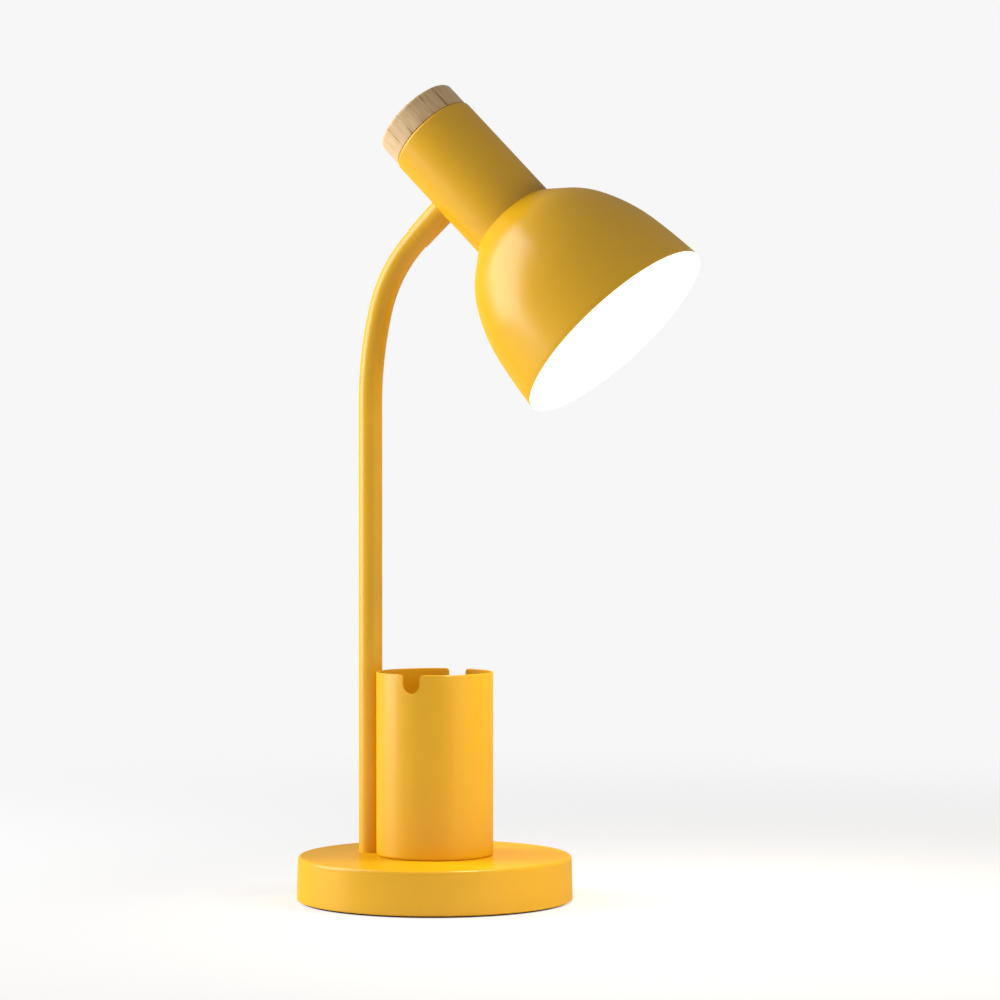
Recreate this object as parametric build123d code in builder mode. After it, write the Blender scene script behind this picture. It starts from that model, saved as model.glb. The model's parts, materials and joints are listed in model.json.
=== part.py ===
from build123d import *
import os
from math import cos, radians, sin

# A desk lamp on a round weighted base. A pen cup stands on the base, a sleeved gooseneck rises
# behind it, and the gooseneck carries a bell shade on a round neck with a wooden end cap.
# Millimetres, +Z up. The origin is on the table under the middle of the base, the head looks
# towards +X, and the XZ plane is the plane of symmetry.

# Base
base_diameter = 151.2
base_top_diameter = 150.0
base_height = 25.0
base_wall = 1.5
base_edge_radius = 2.0
base_hem_radius = 0.8
pad_thickness = 1.0
pad_inset = 2.4
plate_thickness = 1.5
plate_clearance = 0.3
pillar_diameter = 10.0
pillar_count = 4
pillar_start_angle = 45.0
plate_screw_diameter = 3.0
plate_screw_head = 5.4
plate_screw_length = 9.0
weight_gap = 7.5
weight_thickness = 9.0
weight_bay = 24.0
weight_clearance = 1.0
weight_land = 6.0

# Pen cup
cup_diameter = 64.0
cup_height = 100.5
cup_wall = 1.2
cup_edge_radius = 1.6
cup_rim_radius = 0.4
notch_width = 10.2
notch_depth = 10.2
notch_corner_radius = 2.0
cup_screw_diameter = 4.0
cup_screw_head = 7.0
cup_screw_head_height = 2.4
cup_screw_socket = 2.5
cup_screw_circle = 36.0
cup_screw_count = 3
cup_screw_tail = 1.5
cup_nut_width = 7.0
cup_nut_height = 3.2

# Gooseneck
sleeve_diameter = 13.0
sleeve_wall = 1.0
sleeve_clearance = 0.3
stem_gap = 0.3
hose_bore = 6.2
lead_diameter = 3.8
bend_start = 272.5
lower_bend_radius = 214.0
lower_bend_angle = 14.0
upper_bend_radius = 80.0
upper_bend_angle = 31.5
sleeve_end_run = 1.0
flex_start = 115.0
flex_end_margin = 9.0
joint_count = 10
hinge_gap = 1.6

# End fittings of the gooseneck
fitting_collar = 12.0
spigot_length = 8.0
spigot_clearance = 0.1
stud_diameter = 8.0
stud_clearance = 0.2
stud_tail = 1.5
stud_nut_width = 13.0
stud_nut_height = 3.2
thread_clearance = 0.05
stud_washer_diameter = 16.0
stud_washer_thickness = 1.0
lead_bore = 4.4
ferrule_diameter = 13.8
ferrule_length = 20.8
ferrule_flare = 1.4
ferrule_edge_radius = 0.4
ferrule_spigot = 4.0
ferrule_seat_gap = 0.05
saddle_diameter = 14.0
saddle_thickness = 1.6

# Head
neck_diameter = 50.6
neck_length = 69.0
neck_wall = 1.2
neck_edge_radius = 1.8
stem_above_crease = 35.1
cap_diameter = 49.2
cap_length = 14.5
cap_edge_radius = 1.8
cap_front_radius = 0.5
cap_recess_diameter = 32.0
cap_recess_depth = 4.0
cap_screw_diameter = 4.0
cap_screw_head = 7.0
cap_screw_head_height = 2.4
cap_screw_bite = 6.0
screw_clearance = 0.2

# Shade, drawn from the mouth up to its seat on the neck
mouth_diameter = 120.6
shade_wall = 1.0
shade_rim_radius = 0.35
skirt_lean = 4.6
skirt_radius = 375.0
skirt_angle = 4.5
belly_radius = 100.0
belly_angle = 19.0
shoulder_radius = 50.5
shoulder_angle = 19.0

# Lampholder
holder_diameter = 39.0
holder_hole_clearance = 0.3
holder_reach = 13.0
holder_flange_diameter = 46.0
holder_flange_thickness = 3.0
holder_back = 23.0
holder_waist_diameter = 38.0
holder_taper = 8.0
holder_back_diameter = 30.0
holder_bore = 28.6
holder_floor = 9.8
holder_shell_clearance = 0.1
holder_shell_wall = 0.6
holder_shell_inset = 2.0
contact_length = 10.0
contact_width = 4.0
contact_strip = 0.6
contact_button_diameter = 5.0
contact_button_height = 0.6
ring_width = 3.9
ring_height = 7.0
ring_clearance = 0.1
ring_rib_count = 24
ring_rib_diameter = 1.2
standoff_width = 5.5
standoff_spacing = 22.0
standoff_screw_diameter = 3.0
standoff_screw_head = 5.5
standoff_screw_head_height = 2.0
standoff_screw_length = 9.0
standoff_stud_length = 5.0
terminal_width = 4.0
terminal_length = 6.0
terminal_height = 3.5
terminal_spacing = 8.0
terminal_offset = 9.0
lead_bend_radius = 7.0

# Bulb
bulb_cap_diameter = 26.2
bulb_cap_length = 20.0
bulb_cap_wall = 0.5
bulb_cap_taper = 3.5
bulb_cap_end_diameter = 16.0
bulb_contact_diameter = 9.0
bulb_contact_height = 1.0
bulb_insulator_height = 1.5
bulb_collar_length = 15.0
bulb_collar_diameter = 34.0
bulb_collar_wall = 1.2
bulb_globe_diameter = 45.0
bulb_globe_wall = 1.0

# Rocker switch in the back of the base
switch_angle = 150.0
switch_height = 12.5
switch_seat_depth = 0.7
switch_seat_margin = 0.8
bezel_width = 10.4
bezel_height = 15.0
bezel_thickness = 1.5
housing_width = 8.6
housing_height = 13.0
housing_depth = 12.0
housing_clearance = 0.15
rocker_width = 6.0
rocker_length = 10.2
rocker_side_gap = 0.3
rocker_end_gap = 0.75
rocker_tilt = 8.0
rocker_crown = 2.9
rocker_dip = 0.72
rocker_root = 3.0
rocker_root_length = 6.4
rocker_floor_gap = 0.5
pivot_depth = 2.0
pivot_pin_diameter = 1.6
pivot_pin_length = 0.9
pivot_pin_clearance = 0.05
tab_width = 3.0
tab_thickness = 0.8
tab_length = 6.0
tab_spacing = 4.8
tab_drop = 4.0

# Cord inlet and the connector block in the base
inlet_height = 10.0
inlet_bore = 6.2
bush_diameter = 9.0
bush_flange_diameter = 13.0
bush_flange_thickness = 2.0
bush_tail = 5.0
bush_clearance = 0.1
bush_seat_depth = 0.7
block_length = 18.0
block_width = 12.0
block_height = 9.0
block_screw_diameter = 3.2
block_screw_head_height = 1.0
block_screw_slot = 0.6
block_screw_spacing_x = 12.0
block_screw_spacing_y = 6.0
wire_diameter = 2.0
wire_spread = 4.0

# Levels and radii that follow from the sizes above
base_radius = base_diameter / 2
base_top_radius = base_top_diameter / 2
cup_radius = cup_diameter / 2
sleeve_radius = sleeve_diameter / 2
neck_radius = neck_diameter / 2
plate_bottom = pad_thickness
plate_top = plate_bottom + plate_thickness
weight_diameter = base_diameter - 2 * (base_wall + weight_gap)
pillar_circle = weight_diameter - pillar_diameter - 2 * (weight_clearance + weight_land)
base_ceiling = base_height - base_wall
cup_rim = base_height + cup_height
hose_diameter = sleeve_diameter - 2 * (sleeve_wall + sleeve_clearance)
spigot_diameter = hose_bore - 2 * spigot_clearance
stud_hole = stud_diameter + 2 * stud_clearance
stud_thread = stud_diameter + 2 * thread_clearance
block_top = plate_top + block_height


def base_radius_at(height):
    """Outer radius of the base's leaning side at a height above the table."""
    share = (height - pad_thickness) / (base_height - pad_thickness)
    return base_radius + (base_top_radius - base_radius) * share


# Centre line of the gooseneck: straight up behind the cup, a slow bend, then a tighter one
stem_x = -(cup_radius + stem_gap + sleeve_radius)
stem_foot = Plane((stem_x, 0, base_height))
with BuildLine(Plane.XZ) as stem_line:
    riser = Line((stem_x, base_height), (stem_x, bend_start))
    lower_bend = JernArc(riser @ 1, riser % 1, lower_bend_radius, -lower_bend_angle)
    upper_bend = JernArc(lower_bend @ 1, lower_bend % 1, upper_bend_radius, -upper_bend_angle)
    run = Line(upper_bend @ 1, upper_bend @ 1 + (upper_bend % 1) * sleeve_end_run)
stem_path = stem_line.wire()
stem_length = stem_path.length
stem_end = stem_path @ 1
stem_dir = stem_path % 1

# Outline of the shade in its own plane: radius, then distance from the mouth
with BuildLine() as shade_line:
    lean = radians(skirt_lean)
    skirt = JernArc((mouth_diameter / 2, 0), (-sin(lean), cos(lean)), skirt_radius, skirt_angle)
    belly = JernArc(skirt @ 1, skirt % 1, belly_radius, belly_angle)
    shoulder = JernArc(belly @ 1, belly % 1, shoulder_radius, shoulder_angle)
    crown_start, crown_dir = shoulder @ 1, shoulder % 1
    crown_length = (crown_start.X - neck_radius) / -crown_dir.X
    crown = Line(crown_start, crown_start + crown_dir * crown_length)
    crease = (crown @ 1).Y
    seat = Line(crown @ 1, (holder_diameter / 2 + holder_hole_clearance, crease))

# Frame of the head: its axis crosses the gooseneck's line at a right angle inside the neck
neck_back = crease + neck_length
neck_inside = neck_back - neck_wall
stem_entry = crease + stem_above_crease
head_back = Vector(-stem_dir.Z, 0, stem_dir.X)
neck_centre = stem_end + stem_dir * (ferrule_length + neck_radius)
mouth_centre = neck_centre - head_back * stem_entry
head_section = Plane(mouth_centre, x_dir=stem_dir, z_dir=(0, -1, 0))
head_plane = Plane(mouth_centre, x_dir=stem_dir, z_dir=head_back)
head_axis = Axis(mouth_centre, head_back)
stem_end_plane = Plane(stem_end, x_dir=(0, 1, 0), z_dir=stem_dir)

# Frame of the switch: x along the wall, y up, z out of the wall
switch_out = Vector(cos(radians(switch_angle)), sin(radians(switch_angle)), 0)
switch_along = Vector(-switch_out.Y, switch_out.X, 0)
switch_seat = base_radius_at(switch_height) - switch_seat_depth
switch_plane = Plane(switch_out * switch_seat + Vector(0, 0, switch_height), switch_along, switch_out)
bezel_face = switch_plane.offset(bezel_thickness)
pivot_point = bezel_face.origin - switch_out * pivot_depth
cavity_height = rocker_length + 2 * rocker_end_gap
cavity_width = rocker_width + 2 * rocker_side_gap
cavity_depth = pivot_depth + rocker_root + rocker_floor_gap
inlet_seat = base_radius_at(inlet_height) - bush_seat_depth
inlet_plane = Plane((-inlet_seat, 0, inlet_height), x_dir=(0, 1, 0), z_dir=(-1, 0, 0))

pillar_places = PolarLocations(pillar_circle / 2, pillar_count, pillar_start_angle)
cup_screw_places = PolarLocations(cup_screw_circle / 2, cup_screw_count)
standoff_places = GridLocations(0, standoff_spacing, 1, 2)


def save(piece, name):
    """Label a finished piece and write it as one STEP file."""
    piece.part.label = name
    export_step(piece.part, f"parts/{name}.step")


os.makedirs("parts", exist_ok=True)

# Pressed steel base, open underneath
with BuildPart() as base_shell:
    with BuildSketch(Plane.XZ):
        with BuildLine():
            Polyline(
                (0, base_height),
                (base_top_radius, base_height),
                (base_radius, pad_thickness),
                (base_radius - base_wall, pad_thickness),
                (base_top_radius - base_wall, base_ceiling),
                (0, base_ceiling),
                close=True,
            )
        make_face()
    revolve(axis=Axis.Z)
    fillet(base_shell.edges().group_by(Axis.Z)[-1], base_edge_radius)
    fillet(base_shell.edges().group_by(Axis.Z)[0].sort_by(SortBy.LENGTH)[-1], base_hem_radius)
    with Locations((stem_x, 0, base_height)):
        Hole(stud_hole / 2, base_wall)
    with Locations((0, 0, base_height)):
        with PolarLocations(cup_screw_circle / 2, cup_screw_count):
            Hole(cup_screw_diameter / 2 + screw_clearance, base_wall)
    with BuildSketch(switch_plane):
        Rectangle(bezel_width + 2 * switch_seat_margin, bezel_height + 2 * switch_seat_margin)
    extrude(amount=base_radius, mode=Mode.SUBTRACT)
    with BuildSketch(switch_plane):
        Rectangle(housing_width + 2 * housing_clearance, housing_height + 2 * housing_clearance)
    extrude(amount=-housing_depth, mode=Mode.SUBTRACT)
    with BuildSketch(inlet_plane):
        Circle(bush_flange_diameter / 2 + bush_clearance)
    extrude(amount=base_radius, mode=Mode.SUBTRACT)
    with BuildSketch(inlet_plane):
        Circle(bush_diameter / 2 + bush_clearance)
    extrude(amount=-bush_tail, mode=Mode.SUBTRACT)
save(base_shell, "base_shell")

# Tapped pillars welded under the base top
with BuildPart() as base_pillars:
    with BuildSketch(Plane.XY.offset(plate_top)):
        with pillar_places:
            Circle(pillar_diameter / 2)
            Circle(plate_screw_diameter / 2 + thread_clearance, mode=Mode.SUBTRACT)
    extrude(amount=plate_screw_length)
    with BuildSketch(Plane.XY.offset(plate_top + plate_screw_length)):
        with pillar_places:
            Circle(pillar_diameter / 2)
    extrude(amount=base_ceiling - plate_top - plate_screw_length)
save(base_pillars, "base_pillars")

# Steel plate that closes the base
with BuildPart() as bottom_plate:
    with BuildSketch(Plane.XY.offset(plate_bottom)):
        Circle(base_radius - base_wall - plate_clearance)
    extrude(amount=plate_thickness)
    with Locations(Plane(bottom_plate.faces().sort_by(Axis.Z)[0])):
        with PolarLocations(pillar_circle / 2, pillar_count, pillar_start_angle):
            CounterSinkHole(
                plate_screw_diameter / 2 + screw_clearance,
                plate_screw_head / 2 + screw_clearance,
                plate_thickness,
            )
save(bottom_plate, "bottom_plate")

# Countersunk screws, plate to pillars
with BuildPart() as plate_screws:
    with BuildSketch(Plane.XY.offset(plate_bottom)):
        with pillar_places:
            Circle(plate_screw_diameter / 2)
    extrude(amount=plate_screw_length)
    head_rise = (plate_screw_head - plate_screw_diameter) / 2
    with BuildSketch(Plane.XY.offset(plate_bottom)):
        with pillar_places:
            Circle(plate_screw_head / 2)
    extrude(amount=head_rise, taper=45)
save(plate_screws, "plate_screws")

# Soft pad glued under the plate and the edge of the base
with BuildPart() as foot_pad:
    with BuildSketch():
        Circle(base_radius - pad_inset)
    extrude(amount=pad_thickness)
save(foot_pad, "foot_pad")

# Cast iron weight, cut away at the back to leave a bay for the wiring
with BuildPart() as base_weight:
    with BuildSketch(Plane.XY.offset(plate_top)):
        Circle(weight_diameter / 2)
        with Locations((-weight_bay, 0)):
            Rectangle(base_diameter, base_diameter, align=(Align.MAX, Align.CENTER), mode=Mode.SUBTRACT)
        with pillar_places:
            Circle(pillar_diameter / 2 + weight_clearance, mode=Mode.SUBTRACT)
    extrude(amount=weight_thickness)
save(base_weight, "base_weight")

# Pen cup with two facing notches in its rim, where a pen can lie across
with BuildPart() as pen_cup:
    with BuildSketch(Plane.XZ):
        with BuildLine():
            FilletPolyline(
                (0, base_height), (cup_radius, base_height), (cup_radius, cup_rim), radius=cup_edge_radius
            )
            offset(amount=cup_wall, side=Side.LEFT)
        make_face()
    revolve(axis=Axis.Z)
    fillet(pen_cup.edges().group_by(Axis.Z)[-1], cup_rim_radius)
    with BuildSketch(Plane.XZ) as notch:
        with Locations((0, cup_rim - notch_depth + notch_width / 2)):
            Circle(notch_width / 2)
            Rectangle(notch_width, notch_depth, align=(Align.CENTER, Align.MIN))
        with Locations((0, cup_rim)):
            Rectangle(2 * notch_width, notch_depth, align=(Align.CENTER, Align.MIN))
        notch_corners = notch.vertices().group_by(Axis.Y)[-2].sort_by(Axis.X)[1:-1]
        fillet(notch_corners, notch_corner_radius)
    extrude(amount=cup_diameter, both=True, mode=Mode.SUBTRACT)
    with Locations((0, 0, base_height + cup_wall)):
        with PolarLocations(cup_screw_circle / 2, cup_screw_count):
            Hole(cup_screw_diameter / 2 + screw_clearance, cup_wall)
save(pen_cup, "pen_cup")

# Socket screws through the cup's floor, with their nuts under the base top
cup_floor = base_height + cup_wall
with BuildPart() as cup_screws:
    with BuildSketch(Plane.XY.offset(cup_floor)):
        with cup_screw_places:
            Circle(cup_screw_head / 2)
    extrude(amount=cup_screw_head_height)
    with BuildSketch(Plane.XY.offset(cup_floor)):
        with cup_screw_places:
            Circle(cup_screw_diameter / 2)
    extrude(amount=-(cup_wall + base_wall + cup_nut_height + cup_screw_tail))
    with BuildSketch(Plane.XY.offset(cup_floor + cup_screw_head_height)):
        with cup_screw_places:
            RegularPolygon(cup_screw_socket / 2, 6, major_radius=False)
    extrude(amount=-cup_screw_head_height / 2, mode=Mode.SUBTRACT)
save(cup_screws, "cup_screws")

with BuildPart() as cup_nuts:
    with BuildSketch(Plane.XY.offset(base_ceiling)):
        with cup_screw_places:
            RegularPolygon(cup_nut_width / 2, 6, major_radius=False)
            Circle(cup_screw_diameter / 2 + thread_clearance, mode=Mode.SUBTRACT)
    extrude(amount=-cup_nut_height)
save(cup_nuts, "cup_nuts")

# Lower end fitting of the hose: a spigot inside the hose and a stud through the base top
stud_below = base_wall + stud_washer_thickness + stud_nut_height + stud_tail
with BuildPart() as foot_fitting:
    with BuildSketch(stem_foot):
        Circle(hose_diameter / 2)
    extrude(amount=fitting_collar)
    with BuildSketch(stem_foot):
        Circle(spigot_diameter / 2)
    extrude(amount=fitting_collar + spigot_length)
    with BuildSketch(stem_foot):
        Circle(stud_diameter / 2)
    extrude(amount=-stud_below)
    with BuildSketch(stem_foot.offset(-stud_below)):
        Circle(lead_bore / 2)
    extrude(amount=stud_below + fitting_collar + spigot_length, mode=Mode.SUBTRACT)
save(foot_fitting, "foot_fitting")

with BuildPart() as foot_washer:
    with BuildSketch(stem_foot.offset(-base_wall)):
        Circle(stud_washer_diameter / 2)
        Circle(stud_hole / 2, mode=Mode.SUBTRACT)
    extrude(amount=-stud_washer_thickness)
save(foot_washer, "foot_washer")

with BuildPart() as foot_nut:
    with BuildSketch(stem_foot.offset(-base_wall - stud_washer_thickness)):
        RegularPolygon(stud_nut_width / 2, 6, major_radius=False)
        Circle(stud_thread / 2, mode=Mode.SUBTRACT)
    extrude(amount=-stud_nut_height)
save(foot_nut, "foot_nut")


def tube_along_stem(start, end, outer, inner):
    """A tube that follows the gooseneck's centre line between two distances from its foot."""
    path = stem_path.trim(start / stem_length, end / stem_length)
    with BuildPart() as tube:
        with BuildLine():
            add(path)
        with BuildSketch(Plane(path @ 0, x_dir=(0, 1, 0), z_dir=path % 0)):
            Circle(outer / 2)
            Circle(inner / 2, mode=Mode.SUBTRACT)
        sweep()
    return tube


# Steel hose of the gooseneck in stiff lengths, with a bending gap between each two
joint_pitch = (stem_length - flex_end_margin - flex_start) / joint_count
joint_places = [flex_start + (k + 0.5) * joint_pitch for k in range(joint_count)]
half_gap = hinge_gap / 2
gooseneck_foot = tube_along_stem(fitting_collar, joint_places[0] - half_gap, hose_diameter, hose_bore)
save(gooseneck_foot, "gooseneck_foot")
for number, (low, high) in enumerate(zip(joint_places, joint_places[1:]), start=1):
    gooseneck_link = tube_along_stem(low + half_gap, high - half_gap, hose_diameter, hose_bore)
    save(gooseneck_link, f"gooseneck_link_{number}")
gooseneck_tip = tube_along_stem(joint_places[-1] + half_gap, stem_length, hose_diameter, hose_bore)
save(gooseneck_tip, "gooseneck_tip")

# Smooth coloured sleeve over the whole hose, from the base to the ferrule
gooseneck_sleeve = tube_along_stem(0, stem_length, sleeve_diameter, sleeve_diameter - 2 * sleeve_wall)
save(gooseneck_sleeve, "gooseneck_sleeve")

# Two-core lead from the connector block, up the hose and round to the back of the lampholder
holder_end = crease + holder_back
with BuildPart() as lamp_lead:
    with BuildLine(Plane.XZ) as lead_line:
        Line((stem_x, block_top), (stem_x, base_height))
        add(stem_line.line)
        inside_run = Line(stem_end, neck_centre - stem_dir * lead_bend_radius)
        inside_bend = JernArc(inside_run @ 1, inside_run % 1, lead_bend_radius, -90)
        bend_end = inside_bend @ 1
        Line(bend_end, bend_end - head_back * (stem_entry - lead_bend_radius - holder_end))
    with BuildSketch(Plane((stem_x, 0, block_top))):
        Circle(lead_diameter / 2)
    sweep(path=lead_line.wire())
save(lamp_lead, "lamp_lead")

# Painted ferrule between the sleeve and the neck, with a spigot below and a stud above
stud_inside = neck_wall + saddle_thickness + stud_nut_height + stud_tail
with BuildPart() as top_ferrule:
    with BuildSketch(stem_end_plane):
        Circle(ferrule_diameter / 2)
    extrude(amount=ferrule_length + neck_radius, taper=-ferrule_flare)
    fillet(top_ferrule.edges().sort_by(Axis(stem_end, stem_dir))[0], ferrule_edge_radius)
    with BuildSketch(head_plane):
        Circle(neck_radius + ferrule_seat_gap)
    extrude(amount=neck_back, mode=Mode.SUBTRACT)
    with BuildSketch(stem_end_plane):
        Circle(stud_diameter / 2)
    extrude(amount=ferrule_length + stud_inside)
    with BuildSketch(stem_end_plane):
        Circle(spigot_diameter / 2)
    extrude(amount=-ferrule_spigot)
    with BuildSketch(stem_end_plane.offset(-ferrule_spigot)):
        Circle(lead_bore / 2)
    extrude(amount=ferrule_spigot + ferrule_length + stud_inside, mode=Mode.SUBTRACT)
save(top_ferrule, "top_ferrule")

# Saddle washer and nut that hold the ferrule's stud inside the neck
saddle_flat = stem_end_plane.offset(ferrule_length + neck_wall + saddle_thickness)
with BuildPart() as saddle_washer:
    with BuildSketch(saddle_flat):
        Circle(saddle_diameter / 2)
        Circle(stud_hole / 2, mode=Mode.SUBTRACT)
    extrude(amount=-saddle_thickness)
    with BuildSketch(head_plane):
        Circle(neck_radius)
        Circle(neck_radius - neck_wall - ferrule_seat_gap, mode=Mode.SUBTRACT)
    extrude(amount=neck_back, mode=Mode.SUBTRACT)
save(saddle_washer, "saddle_washer")

with BuildPart() as ferrule_nut:
    with BuildSketch(saddle_flat):
        RegularPolygon(stud_nut_width / 2, 6, major_radius=False)
        Circle(stud_thread / 2, mode=Mode.SUBTRACT)
    extrude(amount=stud_nut_height)
save(ferrule_nut, "ferrule_nut")

# Round neck, closed at the back under the wooden cap
with BuildPart() as neck_shell:
    with BuildSketch(head_section):
        with BuildLine():
            FilletPolyline(
                (neck_radius, crease), (neck_radius, neck_back), (0, neck_back), radius=neck_edge_radius
            )
            offset(amount=neck_wall, side=Side.LEFT)
        make_face()
    revolve(axis=head_axis)
    with BuildSketch(head_plane.offset(neck_inside)):
        Circle(cap_screw_diameter / 2 + screw_clearance)
        with standoff_places:
            Circle(standoff_screw_diameter / 2 + screw_clearance)
    extrude(amount=neck_wall, mode=Mode.SUBTRACT)
    with BuildSketch(stem_end_plane):
        Circle(stud_hole / 2)
    extrude(amount=ferrule_length + neck_radius, mode=Mode.SUBTRACT)
save(neck_shell, "neck_shell")

# Turned wooden end cap with a recess over the screw heads, and the screw that draws it down
with BuildPart() as wood_cap:
    with BuildSketch(head_plane.offset(neck_back)):
        Circle(cap_diameter / 2)
    extrude(amount=cap_length)
    fillet(wood_cap.edges().sort_by(head_axis)[-1], cap_edge_radius)
    fillet(wood_cap.edges().sort_by(head_axis)[0], cap_front_radius)
    with BuildSketch(head_plane.offset(neck_back)):
        Circle(cap_recess_diameter / 2)
    extrude(amount=cap_recess_depth, mode=Mode.SUBTRACT)
    with BuildSketch(head_plane.offset(neck_back + cap_recess_depth)):
        Circle(cap_screw_diameter / 2 + thread_clearance)
    extrude(amount=cap_screw_bite, mode=Mode.SUBTRACT)
save(wood_cap, "wood_cap")

with BuildPart() as wood_cap_screw:
    with BuildSketch(head_plane.offset(neck_inside)):
        Circle(cap_screw_head / 2)
    extrude(amount=-cap_screw_head_height)
    with BuildSketch(head_plane.offset(neck_inside)):
        Circle(cap_screw_diameter / 2)
    extrude(amount=neck_wall + cap_recess_depth + cap_screw_bite)
save(wood_cap_screw, "wood_cap_screw")

# Two standoffs that carry the lampholder from the neck's closed end
with BuildPart() as holder_standoffs:
    with BuildSketch(head_plane.offset(holder_end)):
        with standoff_places:
            RegularPolygon(standoff_width / 2, 6, major_radius=False)
    extrude(amount=neck_inside - holder_end)
    with BuildSketch(head_plane.offset(holder_end)):
        with standoff_places:
            Circle(standoff_screw_diameter / 2)
    extrude(amount=-standoff_stud_length)
    with BuildSketch(head_plane.offset(neck_inside)):
        with standoff_places:
            Circle(standoff_screw_diameter / 2 + thread_clearance)
    extrude(amount=neck_wall - standoff_screw_length, mode=Mode.SUBTRACT)
save(holder_standoffs, "holder_standoffs")

with BuildPart() as standoff_screws:
    with BuildSketch(head_plane.offset(neck_back)):
        with standoff_places:
            Circle(standoff_screw_head / 2)
    extrude(amount=standoff_screw_head_height)
    with BuildSketch(head_plane.offset(neck_back)):
        with standoff_places:
            Circle(standoff_screw_diameter / 2)
    extrude(amount=-standoff_screw_length)
save(standoff_screws, "standoff_screws")

# Insulating lampholder: its skirt passes the shade, its flange sits on the back of the shade
holder_rim = crease - holder_reach
holder_inside = holder_end - holder_floor
flange_end = crease + holder_flange_thickness
with BuildPart() as lampholder_body:
    with BuildSketch(head_section):
        with BuildLine():
            Polyline(
                (holder_bore / 2, holder_rim),
                (holder_diameter / 2, holder_rim),
                (holder_diameter / 2, crease),
                (holder_flange_diameter / 2, crease),
                (holder_flange_diameter / 2, flange_end),
                (holder_waist_diameter / 2, flange_end),
                (holder_waist_diameter / 2, holder_end - holder_taper),
                (holder_back_diameter / 2, holder_end),
                (0, holder_end),
                (0, holder_inside),
                (holder_bore / 2, holder_inside),
                close=True,
            )
        make_face()
    revolve(axis=head_axis)
    with BuildSketch(head_plane.offset(holder_end)):
        with standoff_places:
            Circle(standoff_screw_diameter / 2 + thread_clearance)
    extrude(amount=-standoff_stud_length, mode=Mode.SUBTRACT)
save(lampholder_body, "lampholder_body")

# Brass screw shell and sprung centre contact of the lampholder
shell_radius = holder_bore / 2 - holder_shell_clearance
with BuildPart() as lampholder_shell:
    with BuildSketch(head_plane.offset(holder_rim + holder_shell_inset)):
        Circle(shell_radius)
        Circle(shell_radius - holder_shell_wall, mode=Mode.SUBTRACT)
    extrude(amount=holder_inside - holder_rim - holder_shell_inset)
save(lampholder_shell, "lampholder_shell")

with BuildPart() as lampholder_contact:
    with BuildSketch(head_plane.offset(holder_inside)):
        Rectangle(contact_length, contact_width)
    extrude(amount=-contact_strip)
    with BuildSketch(head_plane.offset(holder_inside - contact_strip)):
        Circle(contact_button_diameter / 2)
    extrude(amount=-contact_button_height)
save(lampholder_contact, "lampholder_contact")

# Terminal blocks on the back of the lampholder
with BuildPart() as lampholder_terminals:
    with BuildSketch(head_plane.offset(holder_end)):
        with Locations((terminal_offset, 0)):
            with GridLocations(0, terminal_spacing, 1, 2):
                Rectangle(terminal_length, terminal_width)
    extrude(amount=terminal_height)
save(lampholder_terminals, "lampholder_terminals")

# Spun metal shade with a flat seat round the lampholder's hole
with BuildPart() as shade:
    with BuildSketch(head_section):
        with BuildLine():
            add(shade_line.line)
            offset(amount=shade_wall, side=Side.LEFT)
        make_face()
    revolve(axis=head_axis)
    fillet(shade.edges().filter_by(GeomType.CIRCLE).group_by(head_axis)[0], shade_rim_radius)
save(shade, "shade")

# Ribbed ring that clamps the shade against the lampholder's flange
ring_inner = holder_diameter / 2 + ring_clearance
with BuildPart() as shade_ring:
    with BuildSketch(head_plane.offset(crease - shade_wall)):
        Circle(ring_inner + ring_width)
        Circle(ring_inner, mode=Mode.SUBTRACT)
        with PolarLocations(ring_inner + ring_width, ring_rib_count):
            Circle(ring_rib_diameter / 2, mode=Mode.SUBTRACT)
    extrude(amount=-ring_height)
save(shade_ring, "shade_ring")

# Bulb, from its centre contact forward
bulb_back = holder_inside - contact_strip - contact_button_height
insulator_back = bulb_back - bulb_contact_height
cap_end = insulator_back - bulb_insulator_height
cap_front = cap_end - bulb_cap_taper - bulb_cap_length
collar_front = cap_front - bulb_collar_length
with BuildPart() as bulb_contact:
    with BuildSketch(head_plane.offset(bulb_back)):
        Circle(bulb_contact_diameter / 2)
    extrude(amount=-bulb_contact_height)
save(bulb_contact, "bulb_contact")

with BuildPart() as bulb_insulator:
    with BuildSketch(head_plane.offset(insulator_back)):
        Circle(bulb_cap_end_diameter / 2)
    extrude(amount=-bulb_insulator_height)
save(bulb_insulator, "bulb_insulator")

with BuildPart() as bulb_cap:
    with BuildSketch(head_section):
        with BuildLine():
            Polyline(
                (bulb_cap_diameter / 2, cap_front),
                (bulb_cap_diameter / 2, cap_end - bulb_cap_taper),
                (bulb_cap_end_diameter / 2, cap_end),
                (0, cap_end),
            )
            offset(amount=bulb_cap_wall, side=Side.LEFT)
        make_face()
    revolve(axis=head_axis)
save(bulb_cap, "bulb_cap")

with BuildPart() as bulb_collar:
    with BuildSketch(head_section):
        with BuildLine():
            Polyline(
                (bulb_collar_diameter / 2, collar_front),
                (bulb_cap_diameter / 2, cap_front),
                (0, cap_front),
                (0, cap_front - bulb_collar_wall),
                (bulb_cap_diameter / 2 - bulb_collar_wall, cap_front - bulb_collar_wall),
                (bulb_collar_diameter / 2 - bulb_collar_wall, collar_front),
                close=True,
            )
        make_face()
    revolve(axis=head_axis)
save(bulb_collar, "bulb_collar")

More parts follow.
